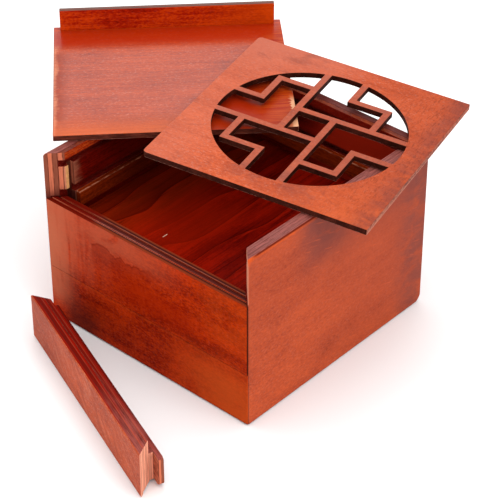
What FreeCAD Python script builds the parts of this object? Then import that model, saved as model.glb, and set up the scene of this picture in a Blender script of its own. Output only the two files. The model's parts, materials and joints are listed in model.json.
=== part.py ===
import FreeCAD, Part
import math
import os

# Wooden puzzle box, opened, with its key bar, window panel and lid lying loose.
# Sizes are in millimetres. The origin is the middle of the box's base, +Z is up,
# the front (where the key bar goes) faces -Y.

# Box
BOX_SIDE = 130.0
BOX_HEIGHT = 94.5
CORNER_EASE = 1.0
BASE_EASE = 1.5
RIM_EASE = 1.8
SANDED_BACK = 7.0
SANDED_FRONT = 4.0

# Boards: each wall is an outer board with a liner of strips glued inside it
OUTER_BOARD = 5.0
LINER = 2.5
PANEL_PLY = 3.0
BASE_PLY = 4.0
WALL = OUTER_BOARD + LINER

# Levels above the table
SEAM_LEVEL = 30.0
NOTCH_LEVEL = 69.3
FLOOR_TOP = 57.0
SLOT_BOTTOM = 48.0

# Clearances
PANEL_GAP = 0.4
SLIDE_GAP = 1.4
SMALL_GAP = 0.2
TONGUE_GAP = 0.3
SEAT_GAP = 0.1
REST_GAP = 0.2

# Grooves left between the liner strips for the sliding panels
LIP_HEIGHT = 4.3
LIP_EASE = 1.5
RIDGE_HEIGHT = 0.8
RIDGE_WIDTH = 1.7
GROOVE_HEIGHT = PANEL_PLY + PANEL_GAP
WINDOW_GROOVE_TOP = BOX_HEIGHT - LIP_HEIGHT
WINDOW_GROOVE_BOTTOM = WINDOW_GROOVE_TOP - GROOVE_HEIGHT
RIDGE_TOP = NOTCH_LEVEL + RIDGE_HEIGHT
LID_GROOVE_BOTTOM = RIDGE_TOP + SMALL_GAP
LID_GROOVE_TOP = LID_GROOVE_BOTTOM + GROOVE_HEIGHT

# Key bar: an outer face, a backing, a short core and a long tongue
BAR_CORE = 2.3
BAR_TONGUE = 2.8
BAR_LIP = 2.0
BAR_EASE = 0.8
BAR_HEIGHT = BOX_HEIGHT - NOTCH_LEVEL
BAR_LIP_DROP = RIDGE_HEIGHT + SMALL_GAP
TONGUE_BOTTOM = LID_GROOVE_BOTTOM + SMALL_GAP - NOTCH_LEVEL
TONGUE_TOP = WINDOW_GROOVE_BOTTOM - TONGUE_GAP - NOTCH_LEVEL
TONGUE_ROUNDING = 0.125
TONGUE_EASE = TONGUE_ROUNDING * (TONGUE_TOP - TONGUE_BOTTOM)

# Slots in the side walls that take the ends of the tongue
SLOT_SKIN = 1.9
SLOT_FRONT = WALL + BAR_CORE - TONGUE_GAP
SLOT_BACK = WALL + BAR_CORE + BAR_TONGUE + TONGUE_GAP

# Front panel, which slides up
PANEL_END_GAP = 0.4
LAP_HEIGHT = 3.0

# Inside fittings, which start just behind the slots
RAIL_THICK = 2.6
RAIL_HEIGHT = 8.3
CLEAT = 4.0
FITTING_FRONT = SLOT_BACK + TONGUE_GAP

# Sliding panels: their front edges are this far behind the front face when shut
WINDOW_FRONT = 7.9
LID_FRONT = 19.0
PANEL_CORNER = 0.5
WINDOW_CORNER = 2.2
STRIP_END_GAP = 2.3
STRIP_TOP_GAP = 1.9
STRIP_INSET = 1.0
SLIDING_WIDTH = BOX_SIDE - 2 * (OUTER_BOARD + SLIDE_GAP)
WINDOW_DEPTH = BOX_SIDE - WINDOW_FRONT - OUTER_BOARD - SLIDE_GAP
LID_DEPTH = BOX_SIDE - LID_FRONT - OUTER_BOARD - SLIDE_GAP
STRIP_HEIGHT = WINDOW_GROOVE_BOTTOM - LID_GROOVE_BOTTOM - PANEL_PLY - STRIP_TOP_GAP

# Lattice in the round window
WINDOW_RADIUS = 47.0
LATTICE_BAR = 3.5
LATTICE_INNER = 9.9
LATTICE_OUTER = 29.1
LATTICE_SHIFT_X = -2.4
LATTICE_SHIFT_Y = 1.5

# Where the loose pieces lie: the lid on the left rim, the window panel propped
# between the right rim and the lid, the bar on the table in front
LID_TURN = 46.0
LID_FROM_LEFT = -0.3
LID_Y = 24.0
WINDOW_TURN = 13.8
WINDOW_FROM_RIGHT = 45.1
WINDOW_Y = 29.5
BAR_TURN = -21.9
BAR_X = 1.5
BAR_FROM_FRONT = 43.4

# Turns that carry a front board round to another side of the box
QUARTER_TURN = 90.0
RIGHT_TURN = QUARTER_TURN
BACK_TURN = 2 * QUARTER_TURN
LEFT_TURN = 3 * QUARTER_TURN

TINY = 0.01
HALF = BOX_SIDE / 2
UP = FreeCAD.Vector(0, 0, 1)
CENTRE = FreeCAD.Vector(0, 0, 0)


def block(x0, x1, y0, y1, z0, z1):
    corner = FreeCAD.Vector(x0, y0, z0)
    return Part.makeBox(x1 - x0, y1 - y0, z1 - z0, corner)


def mitred(depth0, depth1, z0, z1, end_gap=0.0):
    """Front board between two depths behind the front face, ends cut at 45 degrees."""
    inset = end_gap * math.sqrt(2)
    x0 = HALF - depth0 - inset
    x1 = HALF - depth1 - inset
    y0 = depth0 - HALF
    y1 = depth1 - HALF
    outline = [(-x0, y0), (x0, y0), (x1, y1), (-x1, y1), (-x0, y0)]
    wire = Part.makePolygon([FreeCAD.Vector(x, y, z0) for x, y in outline])
    return Part.Face(wire).extrude(UP * (z1 - z0))


def turned(shape, turn):
    """A copy carried round the middle by an angle."""
    moved = shape.copy()
    moved.rotate(CENTRE, UP, turn)
    return moved


def mirrored(shape):
    """The right hand twin of a piece drawn on the left."""
    return shape.mirror(CENTRE, FreeCAD.Vector(1, 0, 0))


def edges_where(shape, test):
    return [e for e in shape.Edges if test(e.BoundBox)]


def eased_block():
    """The outside of the box with its edges sanded round."""
    body = block(-HALF, HALF, -HALF, HALF, 0, BOX_HEIGHT)
    upright = edges_where(body, lambda b: b.ZLength > BOX_HEIGHT / 2)
    body = body.makeFillet(CORNER_EASE, upright)
    low = edges_where(body, lambda b: b.ZMax < BASE_EASE / 2)
    body = body.makeFillet(BASE_EASE, low)
    high = edges_where(body, lambda b: b.ZMin > BOX_HEIGHT - RIM_EASE / 2)
    return body.makeFillet(RIM_EASE, high)


EASED = eased_block()


def sanded_off(size):
    """What is sanded off the lower back corner on the right."""
    near = HALF - size
    cube = block(near, HALF, near, HALF, 0, size)
    ball = Part.makeSphere(size * math.sqrt(2), FreeCAD.Vector(near, near, size))
    return cube.cut(ball)


def sanded(board):
    """A board with the four lower corners of the box rounded off."""
    back = sanded_off(SANDED_BACK)
    front = turned(sanded_off(SANDED_FRONT), -QUARTER_TURN)
    for corner in (back, mirrored(back), front, mirrored(front)):
        board = board.cut(corner)
    return board


def left_slot():
    """Upright slot for the tongue, with the pocket below it that lets the bar drop free."""
    x0 = SLOT_SKIN - HALF
    x1 = WALL - HALF
    slot = block(x0, x1, SLOT_FRONT - HALF, SLOT_BACK - HALF, SLOT_BOTTOM, WINDOW_GROOVE_BOTTOM)
    pocket = block(x0, x1, -HALF, SLOT_BACK - HALF, SLOT_BOTTOM, LID_GROOVE_BOTTOM)
    return slot.fuse(pocket)


LEFT_SLOT = left_slot()


def outer_board(side):
    return sanded(turned(mitred(0, OUTER_BOARD, 0, BOX_HEIGHT), side).common(EASED))


def wall_left():
    return outer_board(LEFT_TURN).cut(LEFT_SLOT)


def wall_right():
    return outer_board(RIGHT_TURN).cut(mirrored(LEFT_SLOT))


def lip(side):
    """Top strip of a liner, rounded where it shows at the notch."""
    strip = turned(mitred(OUTER_BOARD, WALL, WINDOW_GROOVE_TOP, BOX_HEIGHT), side)
    if side == BACK_TURN:
        return strip
    near = WALL - HALF
    corner = edges_where(strip, lambda b: abs(b.YMax - near) < TINY and abs(b.YMin - near) < TINY)
    return strip.makeFillet(LIP_EASE, corner)


def upper_liner(side):
    return turned(mitred(OUTER_BOARD, WALL, LID_GROOVE_TOP, WINDOW_GROOVE_BOTTOM), side)


def behind_slot():
    return block(-HALF, HALF, SLOT_BACK - HALF, HALF, 0, BOX_HEIGHT)


def ahead_of_slot():
    return block(-HALF, HALF, -HALF, SLOT_FRONT - HALF, 0, BOX_HEIGHT)


def lower_liner(side):
    strip = turned(mitred(OUTER_BOARD, WALL, BASE_PLY, LID_GROOVE_BOTTOM), side)
    return strip.cut(LEFT_SLOT).cut(mirrored(LEFT_SLOT))


def base_panel():
    reach = HALF - OUTER_BOARD
    return block(-reach, reach, -reach, reach, 0, BASE_PLY)


def side_rail():
    x0 = WALL - HALF
    bottom = LID_GROOVE_BOTTOM - RAIL_HEIGHT
    return block(x0, x0 + RAIL_THICK, FITTING_FRONT - HALF, HALF - WALL, bottom, LID_GROOVE_BOTTOM)


def back_rail():
    reach = HALF - WALL - RAIL_THICK
    y1 = HALF - WALL
    bottom = LID_GROOVE_BOTTOM - RAIL_HEIGHT
    return block(-reach, reach, y1 - RAIL_THICK, y1, bottom, LID_GROOVE_BOTTOM)


def false_floor():
    reach = HALF - WALL
    return block(-reach, reach, FITTING_FRONT - HALF, reach, FLOOR_TOP - PANEL_PLY, FLOOR_TOP)


def side_cleat():
    x0 = WALL - HALF
    top = FLOOR_TOP - PANEL_PLY
    return block(x0, x0 + CLEAT, FITTING_FRONT - HALF, HALF - WALL, top - CLEAT, top)


def back_cleat():
    reach = HALF - WALL - CLEAT
    y1 = HALF - WALL
    top = FLOOR_TOP - PANEL_PLY
    return block(-reach, reach, y1 - CLEAT, y1, top - CLEAT, top)


def front_lower_face():
    return sanded(mitred(0, OUTER_BOARD, 0, SEAM_LEVEL).common(EASED))


def front_lower_back():
    """Backing of the lower board. Its top edge stands up behind the front panel."""
    backing = mitred(OUTER_BOARD, WALL, BASE_PLY, SEAM_LEVEL)
    lap = mitred(OUTER_BOARD + SMALL_GAP, WALL, SEAM_LEVEL, SEAM_LEVEL + LAP_HEIGHT)
    return backing.fuse(lap).removeSplitter()


def front_panel_face():
    bottom = SEAM_LEVEL + SEAT_GAP
    board = mitred(0, OUTER_BOARD, bottom, NOTCH_LEVEL, PANEL_END_GAP)
    ridge_front = BAR_LIP + SMALL_GAP
    ridge = mitred(ridge_front, ridge_front + RIDGE_WIDTH, NOTCH_LEVEL, RIDGE_TOP, PANEL_END_GAP)
    return board.common(EASED).fuse(ridge).removeSplitter()


def front_panel_back():
    bottom = SEAM_LEVEL + LAP_HEIGHT + SMALL_GAP
    return mitred(OUTER_BOARD, WALL, bottom, RIDGE_TOP, PANEL_END_GAP)


def sliding_panel(width, depth, left_corner):
    """Flat panel with its underside on z = 0, width along X, depth along Y."""
    panel = block(-width / 2, width / 2, -depth / 2, depth / 2, 0, PANEL_PLY)
    right = edges_where(panel, lambda b: b.ZLength > PANEL_PLY / 2 and b.XMin > 0)
    panel = panel.makeFillet(PANEL_CORNER, right)
    left = edges_where(panel, lambda b: b.ZLength > PANEL_PLY / 2 and b.XMax < TINY - width / 2)
    return panel.makeFillet(left_corner, left)


def lattice_bar(x0, y0, x1, y1):
    half = LATTICE_BAR / 2
    return block(min(x0, x1) - half, max(x0, x1) + half, min(y0, y1) - half, max(y0, y1) + half, 0, PANEL_PLY)


def lattice_quarter():
    """One quarter of the pinwheel: a long bar and a stepped bar beside it."""
    rim = WINDOW_RADIUS + LATTICE_BAR
    a = LATTICE_INNER
    b = LATTICE_OUTER
    runs = [(-rim, -a, a, -a), (-rim, a, -b, a), (-b, a, -b, b), (-b, b, -a, b)]
    return [lattice_bar(*run) for run in runs]


def window_panel():
    """Top panel with its round window. X is the way it slides, Y spans the side walls."""
    panel = sliding_panel(WINDOW_DEPTH, SLIDING_WIDTH, WINDOW_CORNER)
    disc = Part.makeCylinder(WINDOW_RADIUS, PANEL_PLY)
    bars = []
    for turn in (0, RIGHT_TURN, BACK_TURN, LEFT_TURN):
        bars += [turned(bar, turn) for bar in lattice_quarter()]
    lattice = bars[0].multiFuse(bars[1:])
    lattice.translate(FreeCAD.Vector(LATTICE_SHIFT_X, LATTICE_SHIFT_Y, 0))
    return panel.cut(disc.cut(lattice)).removeSplitter()


def lid_panel():
    return sliding_panel(SLIDING_WIDTH, LID_DEPTH, PANEL_CORNER)


def lid_strip():
    reach = HALF - WALL - STRIP_END_GAP
    y1 = LID_DEPTH / 2 - STRIP_INSET
    return block(-reach, reach, y1 - PANEL_PLY, y1, PANEL_PLY, PANEL_PLY + STRIP_HEIGHT)


def lid_placement():
    turn = FreeCAD.Rotation(UP, LID_TURN)
    return FreeCAD.Placement(FreeCAD.Vector(LID_FROM_LEFT - HALF, LID_Y, BOX_HEIGHT + REST_GAP), turn)


def window_placement():
    """Tilted about Y, from the right rim up to the lid's near corner."""
    lid_corner = lid_placement().multVec(FreeCAD.Vector(SLIDING_WIDTH / 2, -LID_DEPTH / 2, 0))
    rise = PANEL_PLY + REST_GAP
    run = HALF - lid_corner.x
    tilt = FreeCAD.Rotation(FreeCAD.Vector(0, 1, 0), math.degrees(math.atan2(rise, run)))
    turn = FreeCAD.Rotation(UP, WINDOW_TURN)
    height = BOX_HEIGHT + REST_GAP + rise * WINDOW_FROM_RIGHT / run
    place = FreeCAD.Vector(HALF - WINDOW_FROM_RIGHT, WINDOW_Y, height)
    return FreeCAD.Placement(place, tilt.multiply(turn))


def bar_placement():
    turn = FreeCAD.Rotation(UP, BAR_TURN)
    return FreeCAD.Placement(FreeCAD.Vector(BAR_X, -HALF - BAR_FROM_FRONT, 0), turn)


def bar_layer(depth0, depth1, half_length, z0, z1):
    return block(-half_length, half_length, depth0, depth1, z0, z1)


def bar_mitred(depth0, depth1, z0, z1):
    """Mitred layer of the bar, drawn with the middle of its lower front edge at the origin."""
    layer = mitred(depth0, depth1, z0, z1)
    layer.translate(FreeCAD.Vector(0, HALF, 0))
    return layer


def bar_face():
    lip_part = bar_mitred(0, BAR_LIP, 0, BAR_LIP_DROP)
    board = bar_mitred(0, OUTER_BOARD, BAR_LIP_DROP, BAR_HEIGHT).fuse(lip_part).removeSplitter()
    long_edges = edges_where(board, lambda b: b.YMax < TINY and b.XLength > HALF)
    return board.makeFillet(BAR_EASE, long_edges)


def bar_backing():
    return bar_mitred(OUTER_BOARD, WALL, BAR_LIP_DROP, BAR_HEIGHT)


def bar_core():
    return bar_layer(WALL, WALL + BAR_CORE, HALF - WALL - TONGUE_GAP, TONGUE_BOTTOM, TONGUE_TOP)


def bar_tongue():
    back = WALL + BAR_CORE + BAR_TONGUE
    half_length = HALF - SLOT_SKIN - TONGUE_GAP
    tongue = bar_layer(WALL + BAR_CORE, back, half_length, TONGUE_BOTTOM, TONGUE_TOP)
    end_corners = edges_where(tongue, lambda b: max(b.XLength, b.ZLength) < TINY)
    return tongue.makeFillet(TONGUE_EASE, end_corners)


def placed(shape, placement):
    return shape.transformed(placement.toMatrix())


nodes = {
    "base_panel": base_panel(),
    "wall_left": wall_left(),
    "wall_right": wall_right(),
    "wall_back": outer_board(BACK_TURN),
    "lip_left": lip(LEFT_TURN),
    "lip_right": lip(RIGHT_TURN),
    "lip_back": lip(BACK_TURN),
    "hook_left": upper_liner(LEFT_TURN).common(ahead_of_slot()),
    "hook_right": upper_liner(RIGHT_TURN).common(ahead_of_slot()),
    "upper_liner_left": upper_liner(LEFT_TURN).common(behind_slot()),
    "upper_liner_right": upper_liner(RIGHT_TURN).common(behind_slot()),
    "upper_liner_back": upper_liner(BACK_TURN),
    "lower_liner_left": lower_liner(LEFT_TURN),
    "lower_liner_right": lower_liner(RIGHT_TURN),
    "lower_liner_back": lower_liner(BACK_TURN),
    "rail_left": side_rail(),
    "rail_right": mirrored(side_rail()),
    "rail_back": back_rail(),
    "floor_cleat_left": side_cleat(),
    "floor_cleat_right": mirrored(side_cleat()),
    "floor_cleat_back": back_cleat(),
    "false_floor": false_floor(),
    "front_lower_face": front_lower_face(),
    "front_lower_back": front_lower_back(),
    "front_panel_face": front_panel_face(),
    "front_panel_back": front_panel_back(),
    "window_panel": placed(window_panel(), window_placement()),
    "lid_panel": placed(lid_panel(), lid_placement()),
    "lid_strip": placed(lid_strip(), lid_placement()),
    "bar_face": placed(bar_face(), bar_placement()),
    "bar_backing": placed(bar_backing(), bar_placement()),
    "bar_core": placed(bar_core(), bar_placement()),
    "bar_tongue": placed(bar_tongue(), bar_placement()),
}

os.makedirs("parts", exist_ok=True)
for name, shape in nodes.items():
    solid = shape.Solids[0]
    solid.exportStep("parts/" + name + ".step")
    print(name, len(shape.Solids), round(solid.Volume, 1), solid.isValid())
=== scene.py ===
import json
import math

import bmesh
import bpy
from mathutils import Matrix, Vector

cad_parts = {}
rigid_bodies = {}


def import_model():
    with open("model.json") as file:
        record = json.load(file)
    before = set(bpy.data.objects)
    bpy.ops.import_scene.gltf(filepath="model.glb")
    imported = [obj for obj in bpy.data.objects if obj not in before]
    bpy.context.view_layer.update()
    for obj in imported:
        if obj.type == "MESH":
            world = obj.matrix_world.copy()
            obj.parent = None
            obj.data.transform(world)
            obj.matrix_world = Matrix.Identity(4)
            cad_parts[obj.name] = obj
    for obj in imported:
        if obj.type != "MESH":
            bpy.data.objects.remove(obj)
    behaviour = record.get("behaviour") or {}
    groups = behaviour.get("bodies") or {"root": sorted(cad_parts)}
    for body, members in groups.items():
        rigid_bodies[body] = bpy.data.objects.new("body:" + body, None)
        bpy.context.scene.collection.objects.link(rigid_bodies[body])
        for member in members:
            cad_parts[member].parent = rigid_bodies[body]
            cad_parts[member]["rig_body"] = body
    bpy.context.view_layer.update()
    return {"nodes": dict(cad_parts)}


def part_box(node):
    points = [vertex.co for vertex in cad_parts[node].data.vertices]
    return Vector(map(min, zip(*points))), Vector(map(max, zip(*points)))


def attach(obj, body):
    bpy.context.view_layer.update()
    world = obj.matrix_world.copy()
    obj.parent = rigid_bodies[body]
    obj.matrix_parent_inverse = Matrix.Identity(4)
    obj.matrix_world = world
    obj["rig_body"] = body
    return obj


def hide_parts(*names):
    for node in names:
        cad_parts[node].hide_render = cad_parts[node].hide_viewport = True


# Wooden puzzle box, opened, with its loose pieces where the photograph shows them.
# Lengths are in metres, in the frame of the solids: +Z up, the front faces -Y.

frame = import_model()

MM = 0.001

# Camera
CAMERA_TARGET = Vector((0.0, 0.0, 0.050))
CAMERA_AZIMUTH = math.radians(41.73)
CAMERA_ELEVATION = math.radians(35.80)
CAMERA_DISTANCE = 0.9719
CAMERA_ASIDE = 0.0062
CAMERA_LOWERED = 0.0124
CAMERA_LENS = 144.0
CAMERA_SENSOR = 36.0

# Studio: each soft box has a place, a point that it faces and a power
SOFTBOX_SIZE = 0.8
SOFTBOXES = {
    "overhead": ((-0.15, 0.0, 1.0), (0.0, 0.0, 0.05), 2.8),
    "behind": ((-0.45, 0.55, 1.3), (0.0, 0.0, 0.1), 2.4),
    "aside": ((0.9, -0.1, 0.95), (0.0, 0.0, 0.05), 4.5),
}
SKY_WHITE = (1.0, 1.0, 1.0, 1.0)
SKY_STRENGTH = 1.05
GROUND_WHITE = (0.93, 0.93, 0.93)
GROUND_REACH = 6.0

# Sizes and places, read from the frame
WALL_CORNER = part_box("wall_right")[1]
HALF = WALL_CORNER.x
RIM = WALL_CORNER.z
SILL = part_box("front_panel_face")[1].z
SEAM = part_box("front_lower_face")[1].z
SLOT_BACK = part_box("upper_liner_left")[0].y

# Edge work
WELD = 0.001 * MM
FLAT_ANGLE = math.radians(0.5)
SHARP_ANGLE = math.radians(30)
EASE = 0.25 * MM
RAIL_EASE = 0.45 * MM
EASE_STEPS = 2
FLAT_WEIGHT = 100

# How squarely a face has to point along an axis, where faces are sorted, from 0 to 1
EXACTLY = 0.99
SQUARELY = 0.9
MOSTLY = 0.7
PARTLY = 0.5
SLIGHTLY = 0.35
BARELY = 0.1

# Sides of the box: thickness axis, the way the outside faces, and the axis along the wall
SIDES = {"left": ("X", -1, "Y"), "right": ("X", 1, "Y"), "back": ("Y", 1, "X")}

# Shift of the noise in each wall, so that no two look alike
WALL_SHIFTS = {"left": 2, "right": 0, "back": 4}

# Materials of a board in order: outside, cut edge, inside and mitred ends
FACE, EDGE, INSIDE, MITRE = range(4)

# Materials of a liner or a strip in order: broad sides, top and the rest
BROAD, TOP, REST = range(3)

# Materials of a thin panel in order: top and underside, burnt edges and plain sides
PANEL, BURNT, PLAIN = range(3)

# Stands for the material of the face beside an eased edge
BESIDE = -1

# Thickness of one ply as it shows in the walls, the front, the thin panels and the key bar
WALL_PLY = 1.67 * MM
FRONT_PLY = 1.1 * MM
THIN_PLY = 0.95 * MM
BAR_PLY = 1.25 * MM

# Top of the front panel: how far its ledge and its two ridges lie behind the front face
LEDGE_BACK = 2.0 * MM
FIRST_RIDGE = 2.2 * MM
SECOND_RIDGE = 5.0 * MM

# Height of the tide line that the darker stain left on the front
TIDE_HEIGHT = 57.0 * MM

# Round opening that the lattice fills, the slant of the window panel's left edge where it crosses the
# lid, and the width of the lid's strip
WINDOW_RADIUS = 47.0 * MM
WINDOW_SLANT = 0.57
STRIP_WIDTH = 3.0 * MM

# Top of the key bar: how far its paler lines lie behind the shown face
BAR_RIDGES = (3.5 * MM, 6.5 * MM)

# Slopes of the pale wisps in the walls and of the figure in the key bar
WISP_TILT = math.radians(-16)
FIGURE_TILT = math.radians(40)

# Mesh attribute that keeps each point's place in the axes of its own piece
OWN = "own_place"

# Noise: its mean, its roughness, and how far each axis moves for a shift of one, in features
NOISE_MEAN = 0.5
NOISE_ROUGHNESS = 0.64
SHIFTS = (1.0, 1.7, 2.3)
PATCH_SHIFT = 17

# Figure of stained veneer: the size of each kind of noise with the grain and across it
LINES = {"along": 30 * MM, "across": 0.65 * MM, "detail": 3}
PORES = {"along": 4.5 * MM, "across": 0.6 * MM, "shift": 3}
BANDS = {"along": 150 * MM, "across": 7 * MM, "detail": 3, "distortion": 0.25, "shift": 11}
SPECKLE = {"along": 1.8 * MM, "across": 0.9 * MM, "detail": 3, "shift": 5}
BLOTCHES = {"along": 30 * MM, "across": 15 * MM, "detail": 6, "distortion": 0.3, "shift": 7}
FLECKS = {"along": 1.3 * MM, "across": 0.8 * MM, "detail": 3, "shift": 9}

# Where on its noise a pore or a fleck starts, and where it is full
PORE_SPAN = (0.58, 0.70)
FLECK_SPAN = (0.53, 0.68)

# Tones of a stain, from darkest to lightest, and the part of its dark that fills a pore
TONE_PLACES = (0.12, 0.36, 0.64, 0.92)
DARKEST = 0.5
LIGHTEST = 1.25
PORE_TONE = 0.45

# Relief of the lines beside the pores, and how much they vary the roughness
LINE_RELIEF = 0.5
ROUGHNESS_RANGE = 0.12

# Cut plywood: its fibres, the waves of its layers and the breaks in its glue
PLY_FIBRES = {"along": 9 * MM, "across": 0.22 * MM}
PLY_WAVES = {"along": 25 * MM, "across": 3 * MM}
GLUE_BREAKS = {"along": 5 * MM, "across": 1.5 * MM, "shift": 9}

# Where on its noise a fibre or a stretch of glue starts, and where it is full
FIBRE_SPAN = (0.42, 0.72)
BREAK_SPAN = (0.25, 0.5)

# How dark and how strong the fibres are, how far the layers waver, as a part of one, and where the glue
# starts and is full, counted from the middle of a layer
FIBRE_TONE = 0.4
FIBRE_STRENGTH = 0.5
PLY_WAVER = 0.25
GLUE_SPAN = (0.36, 0.47)

# Laser cut edge: the streaks and patches of its char, and the share of each
CHAR_STREAKS = {"along": 3.5 * MM, "across": 0.5 * MM, "detail": 3}
CHAR_PATCHES = {"along": 16 * MM, "across": 6 * MM, "detail": 3, "distortion": 0.4, "shift": 5}
CHAR_SHARE = 0.6

# Frayed line along a laser cut edge: its height, how far that wanders, and the breaks in the line
FRAY = 0.2 * MM
FRAY_SWING = 2.5 * FRAY
FRAY_MEAN = 0.40
FRAY_WANDER = {"along": 3.0 * MM, "across": 1.4 * MM, "detail": 3, "shift": 8}
FRAY_BREAKS = {"along": 22 * MM, "across": 8 * MM, "shift": 12}
FRAY_SPAN = (0.36, 0.5)
FRAY_STRENGTH = 0.45

# Stains of the walls and the front, in linear light, with one dark colour that serves both for smudges
# and for painted shade
WALL_LIGHT = (0.50, 0.074, 0.018)
WALL_DARK = (0.36, 0.047, 0.013)
SMUDGE_AND_SHADE = (0.16, 0.036, 0.028)
FRONT_LIGHT = (0.43, 0.026, 0.0010)
FRONT_DARK = (0.24, 0.009, 0.0005)
FRONT_PALE = (0.47, 0.085, 0.038)
FRONT_CHALK = (0.48, 0.125, 0.062)
FRONT_ORANGE = (0.56, 0.075, 0.010)

# Stains of the window panel and the lid
WINDOW_LIGHT = (0.56, 0.101, 0.034)
WINDOW_DARK = (0.40, 0.060, 0.018)
WINDOW_PINK = (0.43, 0.120, 0.078)
WINDOW_ORANGE = (0.58, 0.100, 0.025)
LATTICE_ROSE = (0.22, 0.080, 0.062)
LID_LIGHT = (0.45, 0.050, 0.003)
LID_DARK = (0.29, 0.024, 0.0018)
LID_RED = (0.34, 0.013, 0.0006)
LID_ORANGE = (0.53, 0.085, 0.008)
LID_WORN = (0.68, 0.23, 0.11)
LID_TORN = (0.78, 0.42, 0.23)
STRIP_LIGHT = (0.54, 0.040, 0.0016)
STRIP_DARK = (0.34, 0.009, 0.0006)
STRIP_ORANGE = (0.58, 0.060, 0.0020)

# Stains of the inside, with a colour for a painted pool of light on the back liner
FLOOR_GLOW = (0.36, 0.011, 0.0008)
FLOOR_BROWN = (0.22, 0.018, 0.0015)
FLOOR_LIGHT = (0.28, 0.006, 0.0006)
FLOOR_DARK = (0.11, 0.0014, 0.0003)
INSIDE_LIGHT = (0.16, 0.004, 0.0008)
INSIDE_DARK = (0.07, 0.0014, 0.0004)
LINER_LIT = (0.50, 0.024, 0.006)
RAIL_LIGHT = (0.27, 0.026, 0.002)
RAIL_DARK = (0.12, 0.009, 0.0008)

# Stains of cut edges and bare wood
MAUVE = (0.30, 0.082, 0.066)
RIM_DARK = (0.085, 0.012, 0.009)
RIM_LINE = (0.42, 0.19, 0.15)
LIP_TOP = (0.24, 0.036, 0.008)
BAR_TOP = (0.25, 0.006, 0.001)
BAR_LINE = (0.46, 0.065, 0.028)
SALMON = (0.66, 0.26, 0.165)
END_PALE = (0.64, 0.165, 0.085)
PALE = (0.58, 0.20, 0.11)
TAN = (0.27, 0.070, 0.038)
BARE = (0.90, 0.42, 0.16)
FUZZ = (0.56, 0.26, 0.20)
GLUE = (0.10, 0.018, 0.010)
CHAR = (0.036, 0.007, 0.0045)
SCORCH = (0.155, 0.032, 0.019)
ROUGH_LIGHT = (0.34, 0.095, 0.055)
ROUGH_DARK = (0.12, 0.026, 0.016)
SCRATCH = (0.80, 0.55, 0.40)


def mm(*lengths):
    """Lengths in millimetres, as metres."""
    return tuple(length * MM for length in lengths)


def scaled(colour, share):
    """A colour made darker or lighter."""
    return tuple(share * part for part in colour)


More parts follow.
